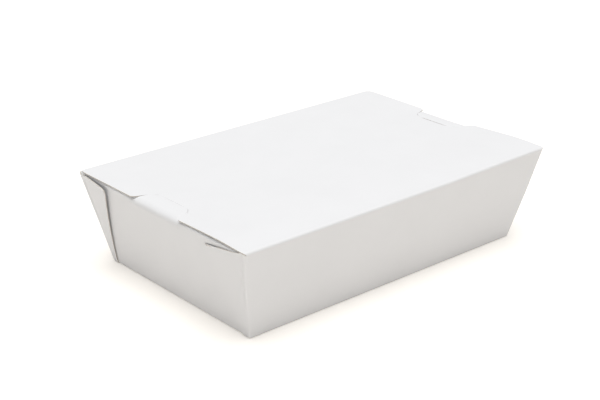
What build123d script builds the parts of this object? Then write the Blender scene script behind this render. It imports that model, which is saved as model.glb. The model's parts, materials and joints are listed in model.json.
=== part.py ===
from build123d import *
import os
from math import acos, atan, cos, degrees, radians, sin, sqrt, tan

os.makedirs("parts", exist_ok=True)

# A takeaway food box, folded and glued from one sheet of board and shut by two lock tabs.
# X runs along the long walls, +Y to the back wall, +Z up; the origin is under the middle of the base.

# Overall sizes, over the sharp corners that the outer faces would meet in (mm, degrees).
rim_length = 180.0          # between the end faces at the height of the lid
rim_width = 121.0           # between the front and back faces at the height of the lid
lid_height = 45.0           # from the table to the upper face of the lid
wall_lean = 12.6            # all four walls lean out from the base by this angle
board = 0.45                # thickness of the board

# Outer radii of the folds.
base_fold = 1.1
corner_fold = 1.1
hinge_fold = 1.0            # front wall to lid
rim_fold = 1.2              # end wall to dust flap
tuck_fold = 1.2             # lid to tuck flap
tab_fold = 3.0              # end wall to lock tab, which isn't creased hard

# Play between layers.
slip = 0.2                  # between layers that slide over each other
cut_gap = 0.4               # beside cut edges
crease_gap = 0.15           # between a lock tab and the fold it swings on

# Lid and tuck flap.
lid_inset = 0.4             # from the end faces in to the short edges of the lid
lid_corner = 3.5            # rounding of the two back corners
lid_bow = 1.3               # by which the lid springs up behind the front crease
bow_run = 34.0              # length of that bow, from front to back
tuck_depth = 16.0           # length of the tuck flap down the back wall
tuck_inset = 3.0            # from the short edge of the lid in to the flap's end
tuck_corner = 8.0           # rounding of the flap's two free corners

# Dust flaps.
dust_depth = 26.0           # from the rim in under the lid
dust_shoulder = 1.6         # from the ends of the rim in to the flap's shoulders
dust_taper = 9.0            # by which each side narrows over that depth

# Corner flaps, measured in the plane of the end wall.
back_flap_top = 20.5        # width near the rim
back_flap_foot = 3.0        # width near the base
back_flap_lift = 5.0        # degrees by which the flap springs off the end wall
front_flap_top = 29.0
front_flap_foot = 4.0
flap_drop = 0.2             # from the lid's crease down to the flap's top edge, along the wall
flap_corner = 3.5           # rounding of the flap's free top corner
flap_foot_gap = 0.5         # from the base fold up to the flaps' lower ends

# Lock tabs and the slits of the lid.
tab_root = 16.5             # half the width where the tab leaves the end wall
tab_tip = 12.5              # half the width at its tip
tab_reach = 10.5            # from the end face in to the tip
tab_corner = 3.5            # rounding of the tip's corners
tab_tilt = 7.0              # degrees by which the tab rises towards its tip
tab_offset = 1.2            # from the middle of the end back to the middle of the tab

# Worked out from the sizes above.
lean = radians(wall_lean)
tilt = radians(tab_tilt)
spread = lid_height * tan(lean)                     # how far each wall runs out over its height
base_length = rim_length - 2 * spread
base_width = rim_width - 2 * spread
level_board = board / cos(lean)                     # the board of a leaning wall, measured level
slope_height = lid_height / cos(lean)
reach = rim_length + rim_width                      # longer than anything here, for cutting shapes
half_length = rim_length / 2
half_width = rim_width / 2

# How far each fold reaches from the sharp corner that its faces would meet in.
corner_angle = acos(-sin(lean) ** 2)                # between a long wall and an end wall
base_setback = base_fold * tan((radians(90) - lean) / 2)
hinge_setback = hinge_fold * tan((radians(90) + lean) / 2)
corner_setback = corner_fold / tan(corner_angle / 2)
fold_reach = max(base_setback, corner_setback)
wall_inset = level_board + fold_reach + board       # where the long walls stop being flat

# The back wall's cut edge stops at the height where it is as wide as the rounded front fold.
fold_shy = hinge_fold * (1 / cos(lean) + tan(lean) - 1)
back_height = lid_height - fold_shy / tan(lean)

# The end walls stand one board inside the corner flaps that are glued over them.
end_foot = base_length / 2 - level_board
dust_height = lid_height - board - slip
window_end = half_length - tab_reach - cut_gap      # where the slits of the lid stop


def end_face(height):
    return end_foot + height * tan(lean)


# The lock tab's upper face passes over the lid's tongue, one board and some play above it.
tab_height = lid_height + (board + slip) / cos(tilt)
tab_meets_wall = (end_face(tab_height) + window_end * tan(lean) * tan(tilt)) / (1 + tan(lean) * tan(tilt))
tab_top = tab_height - (tab_meets_wall - window_end) * tan(tilt)
tab_turn = radians(90) + lean - tilt
tab_tangent = tab_fold * tan(tab_turn / 2)
hinge_x = tab_meets_wall - tab_tangent * cos(tilt)
hinge_z = tab_top + tab_tangent * sin(tilt)
wall_tangent_z = tab_top - tab_tangent * cos(lean)
tab_length = (hinge_x - (half_length - tab_reach)) / cos(tilt)

# Walls: back wall, base and front wall in one run, with the crease that the lid turns on.
hinge_run = 4 * hinge_fold
with BuildPart() as walls:
    with BuildSketch(Plane.YZ) as wall_section:
        with BuildLine():
            FilletPolyline(
                (half_width - fold_shy, back_height),
                (base_width / 2, 0),
                (-base_width / 2, 0),
                (-half_width, lid_height),
                (-half_width + hinge_run, lid_height),
                radius=[base_fold, base_fold, hinge_fold],
            )
            offset(amount=board, side=Side.RIGHT)
        make_face()
    extrude(amount=reach, both=True)
    with BuildSketch(Plane.XZ) as wall_outline:
        with BuildLine():
            Polyline(
                (base_length / 2 - wall_inset - spread, -lid_height),
                (half_length - wall_inset + spread, 2 * lid_height),
                (-half_length + wall_inset - spread, 2 * lid_height),
                (-base_length / 2 + wall_inset + spread, -lid_height),
                close=True,
            )
        make_face()
    extrude(amount=reach, both=True, mode=Mode.INTERSECT)

# Lid: from the hinge crease over a shallow bow, then flat to the tuck flap inside the back wall.
# The bow is three arcs of one radius that meet in line: up, over and down.
lid_half = half_length - lid_inset
bow_turn = degrees(2 * atan(2 * lid_bow / bow_run))
bow_radius = bow_run / (4 * sin(radians(bow_turn)))
tuck_face = half_width - level_board - slip / cos(lean)
with BuildPart() as lid:
    with BuildSketch(Plane.YZ) as lid_section:
        with BuildLine():
            strip = Line((-half_width + hinge_run / 2, lid_height), (-half_width + hinge_run, lid_height))
            rise = JernArc(strip @ 1, strip % 1, radius=bow_radius, arc_size=bow_turn)
            crest = JernArc(rise @ 1, rise % 1, radius=bow_radius, arc_size=-2 * bow_turn)
            fall = JernArc(crest @ 1, crest % 1, radius=bow_radius, arc_size=bow_turn)
            FilletPolyline(
                fall @ 1,
                (tuck_face, lid_height),
                (tuck_face - tuck_depth * sin(lean), lid_height - tuck_depth * cos(lean)),
                radius=tuck_fold,
            )
            offset(amount=board, side=Side.RIGHT)
        make_face()
    extrude(amount=lid_half, both=True)
    with BuildSketch(Plane.XZ) as lid_and_tuck:
        with Locations((0, lid_height)):
            Rectangle(reach, 2 * (tuck_fold + lid_bow))
        with Locations((0, lid_height)):
            RectangleRounded(2 * (lid_half - tuck_inset), 2 * tuck_depth * cos(lean), tuck_corner)
    extrude(amount=reach, both=True, mode=Mode.INTERSECT)
    with BuildSketch(Plane.XY) as lid_outline:
        with BuildLine():
            FilletPolyline(
                (-lid_half, -half_width),
                (-lid_half, tuck_face),
                (lid_half, tuck_face),
                (lid_half, -half_width),
                radius=lid_corner,
            )
            Line((lid_half, -half_width), (-lid_half, -half_width))
        make_face()
    extrude(amount=2 * lid_height, mode=Mode.INTERSECT)


# Half the width of a lock tab, level with x. The slits of the lid run beside it with a gap.
def tab_half(x, gap=0.0):
    tip_x = half_length - tab_reach
    return tab_tip + (tab_root - tab_tip) * (x - tip_x) / tab_reach + gap


# Plan of a tab between two distances along the box, as a closed outline.
def tab_plan(inner_x, outer_x, gap=0.0):
    return Polyline(
        (inner_x, tab_offset + tab_half(inner_x, gap)),
        (outer_x, tab_offset + tab_half(outer_x, gap)),
        (outer_x, tab_offset - tab_half(outer_x, gap)),
        (inner_x, tab_offset - tab_half(inner_x, gap)),
        close=True,
    )


# The window that a tab and its slits take out of the lid and out of the dust flap.
with BuildPart() as tab_window:
    with BuildSketch(Plane.XY.offset(wall_tangent_z - board)):
        with BuildLine():
            tab_plan(window_end, half_length + tab_fold, cut_gap)
        make_face()
    extrude(amount=2 * tab_fold)

# The lid's tongue between the slits, pressed down under the tab.
tongue_end = hinge_x + slip
with BuildPart() as tongue:
    with BuildSketch(Plane.XZ):
        with BuildLine():
            Polyline(
                (window_end - tab_fold, lid_height),
                (window_end, lid_height),
                (tongue_end, lid_height - (tongue_end - window_end) * tan(tilt)),
            )
            offset(amount=board, side=Side.RIGHT)
        make_face()
    extrude(amount=2 * tab_root, both=True)
    with BuildSketch(Plane.XY):
        with BuildLine():
            tab_plan(window_end - tab_fold, half_length)
        make_face()
    extrude(amount=2 * lid_height, mode=Mode.INTERSECT)

# Base, both end walls, their rims and the two dust flaps in one run.
rim_x = end_face(dust_height)
with BuildPart() as ends:
    with BuildSketch(Plane.XZ) as end_section:
        with BuildLine():
            FilletPolyline(
                (dust_depth - rim_x, dust_height),
                (-rim_x, dust_height),
                (-end_foot, 0),
                (end_foot, 0),
                (rim_x, dust_height),
                (rim_x - dust_depth, dust_height),
                radius=[rim_fold, base_fold, base_fold, rim_fold],
            )
            offset(amount=board, side=Side.LEFT)
        make_face()
    extrude(amount=reach, both=True)
    foot_half = base_width / 2 - fold_reach - cut_gap
    with BuildSketch(Plane.YZ) as end_outline:
        with BuildLine():
            Polyline(
                (foot_half, 0),
                (foot_half + spread, lid_height),
                (-foot_half - spread, lid_height),
                (-foot_half, 0),
                close=True,
            )
        make_face()
    extrude(amount=reach, both=True, mode=Mode.INTERSECT)
    shoulder_x = rim_x - 2 * rim_fold
    shoulder_half = foot_half + spread - dust_shoulder
    with BuildSketch(Plane.XY.offset(dust_height - 2 * board)) as dust_sides:
        with BuildLine():
            Polyline(
                (reach, reach),
                (reach, shoulder_half),
                (shoulder_x, shoulder_half),
                (rim_x - dust_depth, shoulder_half - dust_taper),
                (dust_depth - rim_x, shoulder_half - dust_taper),
                (-shoulder_x, shoulder_half),
                (-reach, shoulder_half),
                (-reach, reach),
                close=True,
            )
        make_face()
        mirror(about=Plane.XZ)
    extrude(amount=3 * board, mode=Mode.SUBTRACT)
    add(tab_window.part, mode=Mode.SUBTRACT)
    mirror(tab_window.part, about=Plane.YZ, mode=Mode.SUBTRACT)

# The soft fold by which a lock tab leaves the end wall.
wall_up = (sin(lean), cos(lean))
fold_start = (end_face(wall_tangent_z), wall_tangent_z)
with BuildPart() as tab_bend:
    with BuildSketch(Plane.XZ):
        with BuildLine():
            wall_foot = (fold_start[0] - tab_fold * wall_up[0], fold_start[1] - tab_fold * wall_up[1])
            Line(wall_foot, fold_start)
            JernArc(start=fold_start, tangent=wall_up, radius=tab_fold, arc_size=degrees(tab_turn))
            offset(amount=board, side=Side.LEFT)
        make_face()
    extrude(amount=reach, both=True)
    with BuildSketch(Plane.XY):
        with BuildLine():
            tab_plan(window_end, half_length)
        make_face()
    extrude(amount=2 * lid_height, mode=Mode.INTERSECT)

# A corner flap: it comes off the long wall, turns the corner and lies on the end wall.
# side is -1 for the front corner and 1 for the back one.
end_plane = Plane(origin=(base_length / 2, 0, 0), x_dir=(0, 1, 0), z_dir=(cos(lean), 0, -sin(lean)))
edge_length = sqrt(2 * spread**2 + lid_height**2)
edge_turn = spread / slope_height                   # how far the corner runs out per mm up the wall


def corner_flap(side, top, foot, lift):
    foot_corner = Vector(base_length / 2, side * base_width / 2, 0)
    along_edge = Vector(spread, side * spread, lid_height)
    inward = end_plane.from_local_coords(Vector(-side, edge_turn, 0)) - end_plane.origin
    section_plane = Plane(origin=foot_corner, x_dir=inward, z_dir=along_edge)
    flap_run = top + 4 * corner_fold
    wall_run = wall_inset + 2 * corner_fold
    low = base_setback + flap_foot_gap
    high = slope_height - hinge_setback - flap_drop
    with BuildPart() as flap:
        with BuildSketch(section_plane):
            with BuildLine():
                FilletPolyline(
                    (wall_run * cos(corner_angle), -side * wall_run * sin(corner_angle)),
                    (0, 0),
                    (flap_run * cos(radians(lift)), side * flap_run * sin(radians(lift))),
                    radius=corner_fold,
                )
                offset(amount=board, side=Side.LEFT if side < 0 else Side.RIGHT)
            make_face()
        extrude(amount=edge_length)
        with BuildSketch(end_plane):
            with BuildLine():
                outer = base_width / 2 + 2 * wall_run
                Polyline(
                    (side * (outer + low * edge_turn), low),
                    (side * (outer + high * edge_turn), high),
                    (side * (base_width / 2 + high * edge_turn - top), high),
                    (side * (base_width / 2 + low * edge_turn - foot), low),
                    close=True,
                )
            make_face()
            free_corner = vertices().group_by(Axis.Y)[-1].sort_by(lambda corner: abs(corner.X))[0]
            fillet(free_corner, flap_corner)
        extrude(amount=3 * wall_run, both=True, mode=Mode.INTERSECT)
    return flap.part


front_flap = corner_flap(-1, front_flap_top, front_flap_foot, 0)
back_flap = corner_flap(1, back_flap_top, back_flap_foot, back_flap_lift)

with BuildPart() as carton:
    add(lid.part)
    add(tab_window.part, mode=Mode.SUBTRACT)
    mirror(tab_window.part, about=Plane.YZ, mode=Mode.SUBTRACT)
    add(walls.part)
    add(ends.part)
    for piece in (tongue.part, tab_bend.part, front_flap, back_flap):
        add(piece)
        mirror(piece, about=Plane.YZ)
carton.part.label = "carton"
export_step(carton.part, "parts/carton.step")

# The lock tabs, each a flat flap that swings up on its fold.
tab_plane = Plane(
    origin=(hinge_x, tab_offset, hinge_z),
    x_dir=(-cos(tilt), 0, sin(tilt)),
    z_dir=(sin(tilt), 0, cos(tilt)),
)
with BuildPart() as right_lock_tab:
    with BuildSketch(tab_plane):
        with BuildLine():
            near_half = tab_half(hinge_x)
            Polyline(
                (crease_gap, near_half),
                (tab_length, tab_tip),
                (tab_length, -tab_tip),
                (crease_gap, -near_half),
                close=True,
            )
        make_face()
        fillet(vertices().group_by(Axis.X)[-1], tab_corner)
    extrude(amount=-board)
right_lock_tab.part.label = "right_lock_tab"
export_step(right_lock_tab.part, "parts/right_lock_tab.step")

with BuildPart() as left_lock_tab:
    mirror(right_lock_tab.part, about=Plane.YZ)
left_lock_tab.part.label = "left_lock_tab"
export_step(left_lock_tab.part, "parts/left_lock_tab.step")

print("carton", carton.part.volume, carton.part.bounding_box(), len(carton.part.solids()))
print("lock tab fold", hinge_x, hinge_z)
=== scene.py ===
import json

import bmesh
import bpy
import numpy as np
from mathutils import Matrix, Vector


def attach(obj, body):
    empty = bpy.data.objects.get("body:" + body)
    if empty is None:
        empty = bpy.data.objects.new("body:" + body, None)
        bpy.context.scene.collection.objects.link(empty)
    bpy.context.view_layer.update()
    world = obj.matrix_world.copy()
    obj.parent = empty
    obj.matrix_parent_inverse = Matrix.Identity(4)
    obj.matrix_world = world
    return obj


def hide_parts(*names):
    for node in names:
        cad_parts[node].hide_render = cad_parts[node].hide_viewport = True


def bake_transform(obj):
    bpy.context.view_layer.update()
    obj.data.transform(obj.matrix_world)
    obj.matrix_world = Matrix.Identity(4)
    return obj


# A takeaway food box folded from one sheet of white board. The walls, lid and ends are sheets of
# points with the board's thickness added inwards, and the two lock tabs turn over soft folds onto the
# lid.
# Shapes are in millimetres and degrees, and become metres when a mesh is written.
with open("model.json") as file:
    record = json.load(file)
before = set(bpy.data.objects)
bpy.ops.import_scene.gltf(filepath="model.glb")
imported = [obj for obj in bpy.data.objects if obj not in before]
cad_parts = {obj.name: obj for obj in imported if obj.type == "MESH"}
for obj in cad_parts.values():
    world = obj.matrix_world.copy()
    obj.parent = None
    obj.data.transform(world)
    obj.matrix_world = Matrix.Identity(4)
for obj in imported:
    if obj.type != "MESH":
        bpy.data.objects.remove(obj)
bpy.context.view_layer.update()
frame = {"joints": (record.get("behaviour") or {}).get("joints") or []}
millimetre = 0.001

# Sizes over the sharp corners that the outer faces would meet in, and the outer radii of the folds.
box = {
    "rimLength": 180.0,
    "rimWidth": 121.0,
    "lidHeight": 45.0,
    "wallLean": 12.6,
    "board": 0.45,
    "baseFold": 1.1,
    "cornerFold": 1.1,
    "hingeFold": 1.0,
    "rimFold": 1.2,
    "tuckFold": 1.2,
    "lidInset": 0.4,         # from the end faces in to the short edges of the lid
    "slip": 0.08,            # play between layers that slide
    "weld": 0.002,           # points nearer than this are one point
    "smoothAngle": 35.0,     # edges that turn less than this are shaded round
}
lean = np.radians(box["wallLean"])
halfLength = box["rimLength"] / 2
halfWidth = box["rimWidth"] / 2
spread = box["lidHeight"] * np.tan(lean)
baseHalfLength = halfLength - spread
baseHalfWidth = halfWidth - spread
levelBoard = box["board"] / np.cos(lean)
endFoot = baseHalfLength - levelBoard            # the end walls stand inside the corner flaps
slopeHeight = box["lidHeight"] / np.cos(lean)
baseSetback = box["baseFold"] * np.tan((np.pi / 2 - lean) / 2)
hingeSetback = box["hingeFold"] * np.tan((np.pi / 2 + lean) / 2)


def smooth(x, start, end):
    # A smoothstep: 0 before start, 1 after end, level at both.
    t = np.clip((x - start) / (end - start), 0, 1)
    return t * t * (3 - 2 * t)


def foldedRun(corners, radii, straightSteps, arcSteps):
    # A section along straight runs whose corners are rounded: each arc starts its setback before
    # the corner, which is the radius times the tangent of half the turn.
    corners = np.array(corners, float)
    start = corners[0]
    parts = []
    for place, (radius, steps, bends) in enumerate(zip(radii, straightSteps, arcSteps), 1):
        before = corners[place] - corners[place - 1]
        after = corners[place + 1] - corners[place]
        before = before / np.linalg.norm(before)
        after = after / np.linalg.norm(after)
        turn = np.arccos(np.clip(before @ after, -1, 1))
        arcStart = corners[place] - before * radius * np.tan(turn / 2)
        parts.append(start + (arcStart - start) * np.linspace(0, 1, steps, endpoint=False)[:, None])
        start = arcStart
        if radius:
            side = (after - before * np.cos(turn)) / np.sin(turn)
            angles = np.linspace(0, turn, bends + 1)[:, None]
            arc = arcStart + radius * (side * (1 - np.cos(angles)) + before * np.sin(angles))
            parts.append(arc[:-1])
            start = arc[-1]
    parts.append(start + (corners[-1] - start) * np.linspace(0, 1, straightSteps[-1] + 1)[:, None])
    return np.concatenate(parts)


def gridPoints(x, y, z):
    # Three arrays that spread to one grid, as points.
    return np.stack(np.broadcast_arrays(x, y, z), axis=-1)


# How the folded board has sprung: the end walls bow out, and the front corner at +X stands up,
# leans out and is blunter than the others. A pair is where an effect starts and where it is full.
spring = {
    "leftBow": 0.5,
    "rightBow": 0.3,
    "bowHeights": (5, 42),
    "bowDepths": (0.4, 3.0),         # in from the end face, where the bow dies away
    "bowTop": (44.4, 45.0),          # the bow moves the rim and leaves the lid
    "cornerLift": 1.0,
    "liftX": (15, 85),
    "liftY": (15, 55),
    "liftHeights": (15, 44),
    "cornerPush": 0.95,
    "pushX": (50, 88),
    "pushY": (-5, 30),
    "pushHeights": (0, 44),
    "cornerRound": 1.8,
    "roundHeights": (8, 44),
}


def sprung(points):
    # Every layer moves by one field of the place, so layers stay apart. The bow is a hump along
    # the end wall, flat-topped towards the front, that grows with the height and fades inside the
    # rim. The lift and push are products of smoothsteps towards the corner, and the corner is
    # rounded as a square is mapped to a disc.
    x, y, z = points[..., 0], points[..., 1], points[..., 2]
    inside = endFoot + z * np.tan(lean) - np.abs(x)
    across = np.clip(y / halfWidth, -1, 1)
    hump = np.where(y < 0, 1 - across ** 4, np.cos(across * np.pi / 2).clip(0) ** 1.5)
    bow = np.where(x > 0, spring["rightBow"], spring["leftBow"]) * hump
    bow = bow * smooth(z, *spring["bowHeights"]) * (1 - smooth(inside, *spring["bowDepths"]))
    bow = bow * (1 - smooth(z, *spring["bowTop"]))
    lift = smooth(x, *spring["liftX"]) * smooth(-y, *spring["liftY"]) * smooth(z, *spring["liftHeights"])
    push = smooth(x, *spring["pushX"]) * smooth(-y, *spring["pushY"]) * smooth(z, *spring["pushHeights"])
    radius = spring["cornerRound"] * smooth(z, *spring["roundHeights"]) + 0.01
    overX = np.clip(x - baseHalfLength - z * np.tan(lean) + radius, 0, radius)
    overY = np.clip(-y - baseHalfWidth - z * np.tan(lean) + radius, 0, radius)
    x = x - overX * (1 - np.sqrt(1 - overY ** 2 / (2 * radius ** 2)))
    y = y + overY * (1 - np.sqrt(1 - overX ** 2 / (2 * radius ** 2)))
    x = x + np.sign(x) * bow + spring["cornerPush"] * push
    return np.stack([x, y, z + spring["cornerLift"] * lift], axis=-1)


def sheetMesh(name, grids, materials):
    # Each grid's faces join its neighbouring rows and columns. A grid is turned over if its faces
    # look towards the middle of the box. Points nearer than the weld are merged, and the board's
    # thickness goes inwards.
    middle = np.array([0, 0, box["lidHeight"] / 2])
    points, faces, count = [], [], 0
    for grid in map(sprung, grids):
        rows, columns = grid.shape[:2]
        index = np.arange(rows * columns).reshape(rows, columns) + count
        quads = np.stack([index[:-1, :-1], index[:-1, 1:], index[1:, 1:], index[1:, :-1]], axis=-1)
        corner = grid[:-1, :-1]
        normal = np.cross(grid[:-1, 1:] - corner, grid[1:, :-1] - corner)
        if np.sum(normal * (corner - middle)) < 0:
            quads = quads[..., ::-1]
        points.append(grid.reshape(-1, 3))
        faces.append(quads.reshape(-1, 4))
        count += rows * columns
    mesh = bpy.data.meshes.new(name)
    points = np.concatenate(points) * millimetre
    mesh.from_pydata(points.tolist(), [], np.concatenate(faces).tolist())
    work = bmesh.new()
    work.from_mesh(mesh)
    bmesh.ops.remove_doubles(work, verts=work.verts, dist=box["weld"] * millimetre)
    work.to_mesh(mesh)
    work.free()
    for material in materials:
        mesh.materials.append(material)
    piece = bpy.data.objects.new(name, mesh)
    bpy.context.scene.collection.objects.link(piece)
    thickness = piece.modifiers.new("board", "SOLIDIFY")
    thickness.thickness = box["board"] * millimetre
    thickness.offset = -1
    thickness.use_even_offset = True
    thickness.material_offset_rim = 1
    evaluated = piece.evaluated_get(bpy.context.evaluated_depsgraph_get())
    finished = bpy.data.meshes.new_from_object(evaluated)
    piece.modifiers.clear()
    piece.data = finished
    finished.name = name
    finished.polygons.foreach_set("use_smooth", np.ones(len(finished.polygons), bool))
    finished.set_sharp_from_angle(angle=np.radians(box["smoothAngle"]))
    print("made", name, len(finished.polygons), "faces")
    return piece


def linearColour(code):
    # An sRGB hex code as a linear colour.
    value = np.array([int(code[i:i + 2], 16) for i in (1, 3, 5)]) / 255
    linear = np.where(value <= 0.04045, value / 12.92, ((value + 0.055) / 1.055) ** 2.4)
    return (*linear.tolist(), 1.0)


def addNode(tree, kind, settings=None, inputs=None, links=None):
    # One node with its settings, input values and links into its inputs.
    node = tree.nodes.new(kind)
    for key, value in (settings or {}).items():
        setattr(node, key, value)
    for key, value in (inputs or {}).items():
        node.inputs[key].default_value = value
    for key, output in (links or {}).items():
        tree.links.new(output, node.inputs[key])
    return node


# Uncoated white food board: bleached fibres pressed flat, so it is matt, with a faint cloudiness
# a few centimetres across and short fibres that catch the light. Real fibres are about 1 mm by
# 0.03 mm, drawn coarser here so that they show.
foodBoard = {
    "face": "#E1E1E2",
    "cloudy": "#DDDDDE",
    "fibre": "#D8D8D8",
    "cloudSize": 18.0,       # mm
    "fibreSize": 0.9,        # mm
    "fibreCover": 0.35,      # how much of the fibre colour shows at most
    "roughness": 0.62,
    "roughnessDown": 0.05,   # along smooth fibres
    "roughnessUp": 0.06,     # between them
    "bump": 0.12,
    "bumpDepth": 0.05,       # mm
    "ior": 1.45,
    "specular": 0.3,
}


def foodBoardMaterial():
    material = bpy.data.materials.new("uncoated_white_food_board")
    material.use_nodes = True
    tree = material.node_tree
    shader = tree.nodes["Principled BSDF"]
    place = addNode(tree, "ShaderNodeTexCoord").outputs["Object"]
    clouds = addNode(
        tree, "ShaderNodeTexNoise", None,
        {"Scale": 1 / (foodBoard["cloudSize"] * millimetre), "Detail": 3.0, "Roughness": 0.55},
        {"Vector": place},
    )
    cloudShade = addNode(
        tree, "ShaderNodeMix", {"data_type": "RGBA"},
        {6: linearColour(foodBoard["face"]), 7: linearColour(foodBoard["cloudy"])},
        {0: clouds.outputs["Fac"]},
    )
    fibres = addNode(
        tree, "ShaderNodeTexNoise", None,
        {
            "Scale": 1 / (foodBoard["fibreSize"] * millimetre),
            "Detail": 4.0, "Roughness": 0.65, "Distortion": 1.2,
        },
        {"Vector": place},
    )
    fibreMask = addNode(
        tree, "ShaderNodeMapRange", None,
        {"From Min": 0.58, "From Max": 0.80, "To Max": foodBoard["fibreCover"]},
        {"Value": fibres.outputs["Fac"]},
    )
    colour = addNode(
        tree, "ShaderNodeMix", {"data_type": "RGBA"},
        {7: linearColour(foodBoard["fibre"])},
        {0: fibreMask.outputs["Result"], 6: cloudShade.outputs[2]},
    )
    tree.links.new(colour.outputs[2], shader.inputs["Base Color"])
    polish = addNode(
        tree, "ShaderNodeMapRange", None,
        {
            "From Min": 0.3, "From Max": 0.7,
            "To Min": foodBoard["roughness"] - foodBoard["roughnessDown"],
            "To Max": foodBoard["roughness"] + foodBoard["roughnessUp"],
        },
        {"Value": fibres.outputs["Fac"]},
    )
    tree.links.new(polish.outputs["Result"], shader.inputs["Roughness"])
    bump = addNode(
        tree, "ShaderNodeBump", None,
        {"Strength": foodBoard["bump"], "Distance": foodBoard["bumpDepth"] * millimetre},
        {"Height": fibres.outputs["Fac"]},
    )
    tree.links.new(bump.outputs["Normal"], shader.inputs["Normal"])
    shader.inputs["IOR"].default_value = foodBoard["ior"]
    shader.inputs["Specular IOR Level"].default_value = foodBoard["specular"]
    return material


# The same board where a knife cut it: the layers show as fine lines and the fibres are rougher.
cutBoard = {
    "edge": "#D2CDC6",
    "layer": "#C2BBB1",
    "layerSize": 0.15,       # mm, a third of the board
    "roughness": 0.85,
    "ior": 1.45,
    "specular": 0.2,
}


def cutBoardMaterial():
    material = bpy.data.materials.new("cut_edge_of_food_board")
    material.use_nodes = True
    tree = material.node_tree
    shader = tree.nodes["Principled BSDF"]
    place = addNode(tree, "ShaderNodeTexCoord").outputs["Object"]
    layers = addNode(
        tree, "ShaderNodeTexNoise", None,
        {"Scale": 1 / (cutBoard["layerSize"] * millimetre), "Detail": 2.0, "Roughness": 0.6},
        {"Vector": place},
    )
    colour = addNode(
        tree, "ShaderNodeMix", {"data_type": "RGBA"},
        {6: linearColour(cutBoard["edge"]), 7: linearColour(cutBoard["layer"])},
        {0: layers.outputs["Fac"]},
    )
    tree.links.new(colour.outputs[2], shader.inputs["Base Color"])
    shader.inputs["Roughness"].default_value = cutBoard["roughness"]
    shader.inputs["IOR"].default_value = cutBoard["ior"]
    shader.inputs["Specular IOR Level"].default_value = cutBoard["specular"]
    return material


boardFinish = [foodBoardMaterial(), cutBoardMaterial()]
print("materials ready")

# The lock tabs and the slits round them.
tab = {
    "rootHalf": 16.5,
    "tipHalf": 12.5,
    "reach": 10.5,           # from the end face in to the tip
    "corner": 3.5,
    "tilt": 7.0,             # degrees up from level at the fold
    "offset": 1.2,           # the tab's middle line, in y
    "curl": 0.0145,          # drop of the tab below its tilt, per mm squared past the fold
    "fold": 3.0,
    "slit": 0.12,
    "tipGap": 0.05,
    "flare": 1.3,            # how far the lid's corner beside the slit is rounded away
    "flareLength": 1.6,
    "weldedFoot": 0.8,       # straight wall that the tab's piece starts with
    "bendLength": 0.8,
    "foldSteps": 18,
    "columns": 24,
}
hingeAt = np.array(frame["joints"][1]["pos_m"]) / millimetre
hingeX, hingeZ = abs(hingeAt[0]), hingeAt[2]
tilt = np.radians(tab["tilt"])
tabTurn = np.pi / 2 + lean - tilt
tipX = halfLength - tab["reach"]
windowEnd = tipX - tab["tipGap"]
foldCentre = np.array([hingeX - tab["fold"] * np.sin(tilt), hingeZ - tab["fold"] * np.cos(tilt)])
foldFoot = foldCentre + tab["fold"] * np.array([np.cos(lean), -np.sin(lean)])
cutHeight = foldFoot[1] - tab["weldedFoot"] * np.cos(lean)


def tabHalf(x):
    # Half the width of a tab runs straight from its tip to its root.
    return tab["tipHalf"] + (tab["rootHalf"] - tab["tipHalf"]) * (np.abs(x) - tipX) / tab["reach"]


def tabOutline(x):
    # Half the width of a tab, less what its rounded corner takes off near the tip.
    toTip = np.clip(windowEnd + tab["corner"] - np.abs(x), 0, tab["corner"]) / tab["corner"]
    return tabHalf(x) - tab["corner"] * (1 - np.sqrt(1 - (0.99 * toTip) ** 2))


def tabHeight(x):
    # The tab's upper face leaves its fold at the tilt and curves down to lie almost on the lid.
    past = hingeX - np.abs(x)
    return hingeZ + past * np.tan(tilt) - tab["curl"] * past ** 2


lidHalf = halfLength - box["lidInset"]

# The columns along the lid, which the long walls share: close together beside and before the tab.
besideTab = windowEnd + (lidHalf - windowEnd) * np.linspace(0, 1, 19) ** 1.6
beforeTip = windowEnd - np.array([0.6, 0.4, 0.2])
alongLid = np.concatenate([np.linspace(0, windowEnd - 0.8, 24), beforeTip, besideTab])
alongLid = np.concatenate([-alongLid[:0:-1], alongLid])[None, :] / lidHalf

# The lid springs up behind its front crease: the places in y, and the rise at the two ends.
bow = {"front": -59.0, "crest": -42.0, "back": -2.0, "left": 0.5, "right": 0.45}


def lidRise(x, y):
    # A hump across the lid: a smoothstep up from the crease to the crest and one down behind it.
    hump = smooth(y, bow["front"], bow["crest"]) * (1 - smooth(y, bow["crest"], bow["back"]))
    along = smooth(x, -halfLength, halfLength)
    return hump * (bow["left"] + (bow["right"] - bow["left"]) * along)


# The front and back walls' corner flaps. A flap is a foot wide at the base, and wider by its taper
# and curve going up. Its top edge drops away from the corner, after a rise beside it. It stands
# off the end wall by its lift in degrees and its bulge in millimetres.
flaps = {
    "front": {
        "foot": 3.4, "taper": 0.42, "curve": 0.0034, "drop": 3.1, "rise": 0.75,
        "lift": 0.0, "bulge": 0.32,
    },
    "back": {
        "foot": 2.6, "taper": 0.30, "curve": 0.0034, "drop": 1.2, "rise": -0.8,
        "lift": 4.2, "bulge": 0.0,
    },
    "corner": 3.5,
    "riseEnd": 0.3,          # as a part of the flap's width
    "bulgeStart": 5.0,       # from the corner
    "bulgeHeights": (26, 44),
    "standHeights": (0, 4),
    "groove": 0.7,           # depth of the crease that the corner turned on
    "grooveAt": 1.5,
    "grooveWidth": 0.75,
    "grooveHeights": (8, 34),
    "foldSteps": 8,
    "columns": 26,
    "rows": 26,
}


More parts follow.
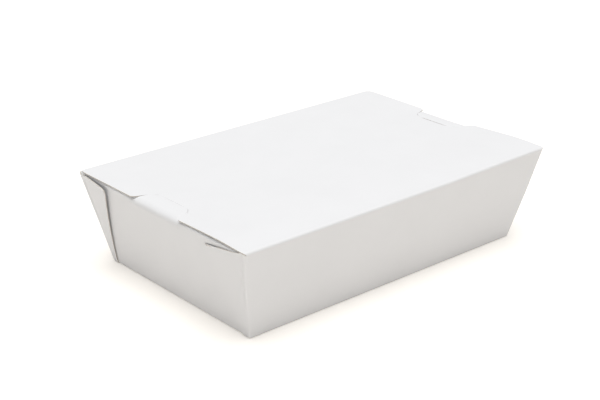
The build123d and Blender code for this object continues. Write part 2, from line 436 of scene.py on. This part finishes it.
def wallBand(side, shape, top):
    # One long wall and the two flaps that turn its corners. The rows go round the base fold and
    # up the slope; the columns go along a rounded rectangle whose half sizes grow with the height.
    # A flap's bulge is a sine hump over its width, and its groove is a bell curve.
    arc = np.linspace(0, np.pi / 2 - lean, flaps["foldSteps"] + 1)[:-1, None]
    arcOut = -baseSetback + box["baseFold"] * np.sin(arc)
    arcUp = box["baseFold"] * (1 - np.cos(arc))
    turn = np.linspace(0, np.pi / 2, 8)[1:, None]
    climb = np.linspace(0, 1, flaps["rows"])[:, None]

    def rows(rimDrop):
        knee = top - rimDrop - flaps["corner"]
        straight = baseSetback + (knee - baseSetback) * climb
        slope = np.concatenate([straight, knee + flaps["corner"] * np.sin(turn)])
        out = np.concatenate([arcOut + 0 * rimDrop, slope * np.sin(lean)])
        up = np.concatenate([arcUp + 0 * rimDrop, slope * np.cos(lean)])
        return out, up, up / np.cos(lean)

    cornerRadius = box["cornerFold"]
    cut = np.concatenate([0 * arc, 0 * climb, flaps["corner"] * (1 - np.cos(turn))])
    out, up, _ = rows(0 * alongLid)
    radius = cornerRadius + np.minimum(out, 0)
    grids = [gridPoints((baseHalfLength + out - radius) * alongLid, side * (baseHalfWidth + out), up)]
    for end in (-1, 1):
        angle = np.linspace(0, np.pi / 2, flaps["foldSteps"] + 1)[None, :]
        out, up, _ = rows(-shape["rise"] * smooth(angle, 0, 0.8))
        radius = cornerRadius + np.minimum(out, 0)
        corner = gridPoints(
            end * (baseHalfLength + out - radius * (1 - np.sin(angle))),
            side * (baseHalfWidth + out - radius * (1 - np.cos(angle))),
            up,
        )
        t = np.linspace(0, 1, flaps["columns"] + 1)[None, :] ** 1.6
        besideCorner = 1 - smooth(t, 0.02, flaps["riseEnd"])
        out, up, slope = rows(shape["drop"] * t ** 1.2 - shape["rise"] * besideCorner)
        radius = cornerRadius + np.minimum(out, 0)
        width = shape["foot"] + shape["taper"] * slope + shape["curve"] * slope ** 2 - cut
        away = t * width
        stand = away * np.tan(np.radians(shape["lift"]))
        past = np.clip((away - flaps["bulgeStart"]) / (width - flaps["bulgeStart"]), 0, 1)
        bulge = shape["bulge"] * np.sin(np.pi * past) ** 1.5 * smooth(slope, *flaps["bulgeHeights"])
        groove = flaps["groove"] * np.exp(-((away - flaps["grooveAt"]) / flaps["grooveWidth"]) ** 2)
        groove = groove * smooth(slope, *flaps["grooveHeights"])
        stand = (stand + bulge - groove) * smooth(slope, *flaps["standHeights"])
        flap = gridPoints(
            end * (baseHalfLength + out + stand * np.cos(lean)),
            side * (baseHalfWidth + out - radius - away),
            up - stand * np.sin(lean),
        )
        grids += [corner, flap]
    return grids


# The lid, with the crease it turns on, and the tuck flap behind the back wall.
lid = {
    "corner": 3.5,           # rounding of the back corner at +X
    "leftCorner": 2.0,
    "tuckDepth": 16.0,
    "tuckInset": 3.0,
    "tuckCorner": 8.0,
    "tongueClear": 0.2,      # the tongues under the tabs reach this far past the tab's fold
    "tonguePlay": 0.05,      # and lie this far under them
    "pressBefore": 0.4,      # the lid goes down to a tongue from here before the window's end
    "pressAfter": 0.3,       # to here after it
    "heldLength": 1.5,       # a tongue's sides stay level with the lid over this length
    "tuckBlend": 1.5,        # down the fold, where the lid's width goes over to the tuck flap's
    "frontStart": 4.0,       # from the front crease to the first row of the lid proper
    "rows": 24,
    "foldSteps": 8,
    "tongueSteps": 16,
}


def besideSlit(x):
    # Half the width between the slits: the tab's, then the slit, then the lid's rounded corner.
    opened = smooth(np.abs(x), windowEnd, windowEnd + 1)
    flare = np.clip((np.abs(x) - lidHalf) / tab["flareLength"] + 1, 0, 1) ** 2 * tab["flare"]
    return tabOutline(np.maximum(np.abs(x), windowEnd)) + tab["slit"] * opened + flare


def lidGrids():
    # The rows go round the hinge fold, over the lid, round the tuck fold and down the flap. The
    # lid is three strips between two lines that follow the slits, apart beside the tabs and
    # joined between them. The middle strip's ends are tongues that go down under the tabs. Rounded
    # corners are quarter circles, stopped a little short of square.
    wallTop = slopeHeight - hingeSetback
    tuckFace = halfWidth - levelBoard - box["slip"] / np.cos(lean)
    level = box["lidHeight"]
    front = foldedRun(
        [
            (-baseHalfWidth - wallTop * np.sin(lean), wallTop * np.cos(lean)),
            (-halfWidth, level),
            (-halfWidth + lid["frontStart"], level),
        ],
        [box["hingeFold"]], [1, 3], [lid["foldSteps"]],
    )[1:]
    back = foldedRun(
        [
            (tuckFace - lid["corner"] - box["tuckFold"], level),
            (tuckFace, level),
            (tuckFace - lid["tuckDepth"] * np.sin(lean), level - lid["tuckDepth"] * np.cos(lean)),
        ],
        [box["tuckFold"]], [10, 18], [lid["foldSteps"]],
    )
    wallHalf = halfLength - hingeSetback * np.sin(lean) - box["cornerFold"]
    widen = smooth(front[:, 0], -halfWidth, -halfWidth + box["hingeFold"])
    frontHalf = (wallHalf + (lidHalf - wallHalf) * widen)[:, None]
    toCorner = np.clip(back[:, 0] - back[0, 0], 0, lid["corner"]) / lid["corner"]
    corner = np.where(alongLid < 0, lid["leftCorner"], lid["corner"])
    backHalf = lidHalf - corner * (1 - np.sqrt(1 - (0.98 * toCorner[:, None]) ** 2))
    down = np.clip(level - box["tuckFold"] - back[:, 1:], 0, None) / np.cos(lean)
    toEnd = np.clip(down - down.max() + lid["tuckCorner"], 0, None) / lid["tuckCorner"]
    flapCorner = lid["tuckCorner"] * (1 - np.sqrt(1 - (0.995 * toEnd) ** 2))
    flapHalf = lidHalf - lid["tuckInset"] - flapCorner
    backHalf = np.minimum(backHalf, backHalf + (flapHalf - backHalf) * smooth(down, 0, lid["tuckBlend"]))

    x = alongLid * lidHalf
    lower, upper = tab["offset"] - besideSlit(x), tab["offset"] + besideSlit(x)
    t = np.linspace(0, 1, lid["rows"] + 1)[1:, None]
    y = front[-1, 0] + (lower - front[-1, 0]) * t
    frontGrid = np.concatenate([
        gridPoints(alongLid * frontHalf, front[:, :1], front[:, 1:]),
        gridPoints(x, y, level + lidRise(x, y)),
    ])
    t = np.linspace(0, 1, lid["rows"] + 1)[:-1, None]
    y = upper + (back[0, 0] - upper) * t
    backGrid = np.concatenate([
        gridPoints(x, y, level + lidRise(x, y)),
        gridPoints(alongLid * backHalf, back[:, :1], back[:, 1:]),
    ])
    past = np.maximum(np.abs(x) - windowEnd, 0)
    past = past * (hingeX + lid["tongueClear"] - windowEnd) / (lidHalf - windowEnd)
    middleX = np.sign(x) * (np.minimum(np.abs(x), windowEnd) + past)
    t = np.linspace(-1, 1, lid["tongueSteps"] + 1)[:, None]
    onTongue = np.maximum(np.abs(middleX), windowEnd)
    y = tab["offset"] + t * tabOutline(onTongue)
    under = tabHeight(onTongue) - box["board"] - lid["tonguePlay"] - level
    pressed = smooth(np.abs(middleX), windowEnd - lid["pressBefore"], windowEnd + lid["pressAfter"])
    pastSides = smooth(np.abs(middleX), windowEnd, windowEnd + lid["heldLength"])
    held = np.maximum(1 - smooth(np.abs(t), 0.5, 1), pastSides)
    rise = lidRise(middleX, y) * (1 - pressed) + under * pressed * held
    tongueGrid = gridPoints(middleX, y, level + rise)
    return [frontGrid, tongueGrid, backGrid]


# The base, the end walls with their rims, and the dust flaps that go in under the lid.
ends = {
    "dustDepth": 26.0,
    "shoulder": 1.6,         # step in from the wall's edge at the start of a dust flap
    "shoulderDepths": (0.6, 2.4),    # depths are measured in from the rim
    "taper": 9.0,
    "softRim": 9.0,          # the rim takes this far to change from the tab's soft fold to its own
    "settleDepths": (1.5, 5),        # where a dust flap comes down to its own level
    "riseDepths": (2, 8),            # where it starts to follow the lid's rise
    "slit": 0.03,
    "columns": 28,
    "middleColumns": 16,
    "foldSteps": 8,
    "foldReach": 1.6,        # in from the rim, where the rim's fold is over
    "flapSlope": 0.3 / 26,   # how far its soft part draws in, for each mm of depth
}


def endGrids():
    # The section runs from one dust flap down its end wall, along the base and up to the other.
    # It is three strips: the outer two have a rim and a dust flap, and the middle one stops where
    # the lock tab starts to bend. Beside the tab, the rim's fold goes over to the tab's by a
    # smoothstep of the distance.
    dustHeight = box["lidHeight"] - box["board"] - box["slip"]
    rimX = endFoot + dustHeight * np.tan(lean)
    cutX = endFoot + cutHeight * np.tan(lean)
    right = [(endFoot, 0), (cutX, cutHeight), (rimX, dustHeight), (rimX - ends["dustDepth"], dustHeight)]
    left = [(-x, z) for x, z in right[::-1]]
    section = foldedRun(
        left + right,
        [box["rimFold"], 0, box["baseFold"], box["baseFold"], 0, box["rimFold"]],
        [14, 3, 16, 40, 16, 3, 14],
        [ends["foldSteps"] * turned for turned in (1, 0, 1, 1, 0, 1)],
    )
    x, z = section[:, :1], section[:, 1:]
    rimFoot = dustHeight - box["rimFold"] * np.tan((np.pi / 2 + lean) / 2) * np.cos(lean)
    depth = np.where(z > rimFoot, rimX - np.abs(x), 0).clip(0)
    outer = baseHalfWidth - baseSetback + z * np.tan(lean)
    outer = outer - ends["shoulder"] * smooth(depth, *ends["shoulderDepths"])
    outer = outer - ends["taper"] * depth / ends["dustDepth"]
    inner = tabHalf(np.maximum(np.abs(x), windowEnd))
    bend = (z > cutHeight + box["weld"] / 2) & (depth < ends["foldReach"])
    bend &= np.abs(x) > rimX - ends["foldReach"]
    softX, softZ = x.copy(), z.copy()
    for side in (-1, 1):
        rows = bend[:, 0] & (side * x[:, 0] > 0)
        order = np.argsort(-side * x[rows, 0] + z[rows, 0])
        angle = np.linspace(0, tabTurn, rows.sum() + 1)[1:] - lean
        place = np.flatnonzero(rows)[order]
        softX[place, 0] = side * (foldCentre[0] + tab["fold"] * np.cos(angle))
        softZ[place, 0] = foldCentre[1] + tab["fold"] * np.sin(angle)
    settle = smooth(depth, *ends["settleDepths"])
    flapPart = ~bend & (depth > 0)
    inward = np.minimum(np.abs(x), hingeX - ends["flapSlope"] * depth)
    softZ = np.where(flapPart, z + (hingeZ - dustHeight) * (1 - settle), softZ)
    softX = np.where(flapPart, np.sign(x) * inward, softX)
    opened = tabHalf(np.maximum(np.abs(softX), windowEnd))
    kerf = ends["slit"] * smooth(z, cutHeight, rimFoot)
    opened = opened + kerf * smooth(np.abs(x), windowEnd - 1, windowEnd)
    t = np.linspace(0, 1, ends["columns"] + 1)[None, :] ** 1.5
    grids = []
    for side in (-1, 1):
        start = tab["offset"] + side * opened
        y = start + (side * outer - start) * t
        near = 1 - smooth(np.abs(y - start), 0.5, ends["softRim"])
        rimZ = z + (softZ - z) * near
        rise = lidRise(x, y) * smooth(depth, *ends["riseDepths"])
        grids.append(gridPoints(x + (softX - x) * near, y, rimZ + rise))
    t = np.linspace(-1, 1, ends["middleColumns"] + 1)[None, :]
    y = tab["offset"] + t * inner
    between = section[:, 1] < cutHeight + box["weld"] / 2
    grids.append(gridPoints(x, y, z)[between])
    covered = (section[:, 1] > rimFoot) & (np.abs(section[:, 0]) < windowEnd)
    for side in (-1, 1):
        grids.append(gridPoints(x, y, z)[covered & (side * section[:, 0] > 0)])
    return grids


def tabGrid(end):
    # A short foot on the end wall, the soft fold, and the flat tab with two rounded corners.
    upWall = np.array([np.sin(lean), np.cos(lean)])
    foot = foldFoot - np.linspace(1, 0, 3)[:-1, None] * tab["weldedFoot"] * upWall
    angle = np.linspace(0, tabTurn, tab["foldSteps"] + 1)[:, None] - lean
    fold = foldCentre + tab["fold"] * np.concatenate([np.cos(angle), np.sin(angle)], axis=1)
    length = (hingeX - tipX) / np.cos(tilt)
    turn = np.linspace(0, np.pi / 2 * 0.97, 10)
    straight = np.linspace(0, length - tab["corner"], 7)[1:-1]
    run = np.concatenate([straight, length - tab["corner"] * (1 - np.sin(turn))])
    cut = np.concatenate([0 * straight, tab["corner"] * (1 - np.cos(turn))])
    plateX = hingeX - run * np.cos(tilt)
    plate = np.stack([plateX, tabHeight(plateX)], axis=1)
    section = np.concatenate([foot, fold, plate])
    half = tabHalf(section[:, 0]) - np.concatenate([np.zeros(len(foot) + len(fold)), cut])
    t = np.linspace(-1, 1, tab["columns"] + 1)[None, :]
    return gridPoints(end * section[:, :1], tab["offset"] + half[:, None] * t, section[:, 1:])


frontTop = slopeHeight - hingeSetback
backShy = box["hingeFold"] * (1 / np.cos(lean) + np.tan(lean) - 1)
backTop = (box["lidHeight"] - backShy / np.tan(lean)) / np.cos(lean)
frontGrids = wallBand(-1, flaps["front"], frontTop) + lidGrids()
frontAndLid = sheetMesh("front_wall_and_lid", frontGrids, boardFinish)
backWall = sheetMesh("back_wall", wallBand(1, flaps["back"], backTop), boardFinish)
baseAndEnds = sheetMesh("base_and_end_walls", endGrids(), boardFinish)
for piece in (frontAndLid, backWall, baseAndEnds):
    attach(piece, "carton")
    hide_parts("carton")

for name, end in (("left", -1), ("right", 1)):
    piece = sheetMesh(name + "_tab_and_fold", [tabGrid(end)], boardFinish)
    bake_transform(piece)
    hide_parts(name + "_lock_tab")

# A white table, a large soft light above and an even surround.
studio = {
    "camera": (-0.3886, -0.4403, 0.2692),
    "lookAt": (0.00522, 0.01664, 0.018),
    "lens": 81.7,            # mm
    "surround": 0.17,
    "topLight": 3.38,
    "topSpread": 70.0,       # degrees across, for soft shadows
    "topLean": (0.06, -0.02),        # radians about x and y
    "floor": "#FCF8F2",
    "floorCloud": "#FAF6F0",
    "floorCloudSize": 0.25,  # m
    "floorGlow": 0.13,
    "floorRoughness": 0.9,
    "floorSpecular": 0.1,
    "floorSize": 3.0,
}


def floorMaterial():
    # Matt white laminate: smooth, with a faint cloudiness.
    material = bpy.data.materials.new("matt_white_laminate")
    material.use_nodes = True
    tree = material.node_tree
    shader = tree.nodes["Principled BSDF"]
    place = addNode(tree, "ShaderNodeTexCoord").outputs["Object"]
    clouds = addNode(
        tree, "ShaderNodeTexNoise", None,
        {"Scale": 1 / studio["floorCloudSize"], "Detail": 2.0},
        {"Vector": place},
    )
    colour = addNode(
        tree, "ShaderNodeMix", {"data_type": "RGBA"},
        {6: linearColour(studio["floor"]), 7: linearColour(studio["floorCloud"])},
        {0: clouds.outputs["Fac"]},
    )
    tree.links.new(colour.outputs[2], shader.inputs["Base Color"])
    shader.inputs["Emission Color"].default_value = (1, 1, 1, 1)
    shader.inputs["Emission Strength"].default_value = studio["floorGlow"]
    shader.inputs["Roughness"].default_value = studio["floorRoughness"]
    shader.inputs["Specular IOR Level"].default_value = studio["floorSpecular"]
    return material


floorMesh = bpy.data.meshes.new("floor")
reach = studio["floorSize"]
floorCorners = [(-reach, -reach, 0), (reach, -reach, 0), (reach, reach, 0), (-reach, reach, 0)]
floorMesh.from_pydata(floorCorners, [], [(0, 1, 2, 3)])
floorMesh.materials.append(floorMaterial())
floor = bpy.data.objects.new("floor", floorMesh)
bpy.context.scene.collection.objects.link(floor)

world = bpy.data.worlds.new("surround")
world.use_nodes = True
world.node_tree.nodes["Background"].inputs["Color"].default_value = (1, 1, 1, 1)
world.node_tree.nodes["Background"].inputs["Strength"].default_value = studio["surround"]
bpy.context.scene.world = world

topLight = bpy.data.lights.new("top_light", "SUN")
topLight.energy = studio["topLight"]
topLight.angle = np.radians(studio["topSpread"])
topLamp = bpy.data.objects.new("top_light", topLight)
topLamp.rotation_euler = (studio["topLean"][0], studio["topLean"][1], 0)
bpy.context.scene.collection.objects.link(topLamp)

camera = bpy.data.cameras.new("camera")
camera.lens = studio["lens"]
cameraObject = bpy.data.objects.new("camera", camera)
cameraObject.location = studio["camera"]
towards = Vector(studio["lookAt"]) - Vector(studio["camera"])
cameraObject.rotation_euler = towards.to_track_quat("-Z", "Y").to_euler()
bpy.context.scene.collection.objects.link(cameraObject)
bpy.context.scene.camera = cameraObject
bpy.context.scene.view_settings.view_transform = "Standard"
print("studio ready")
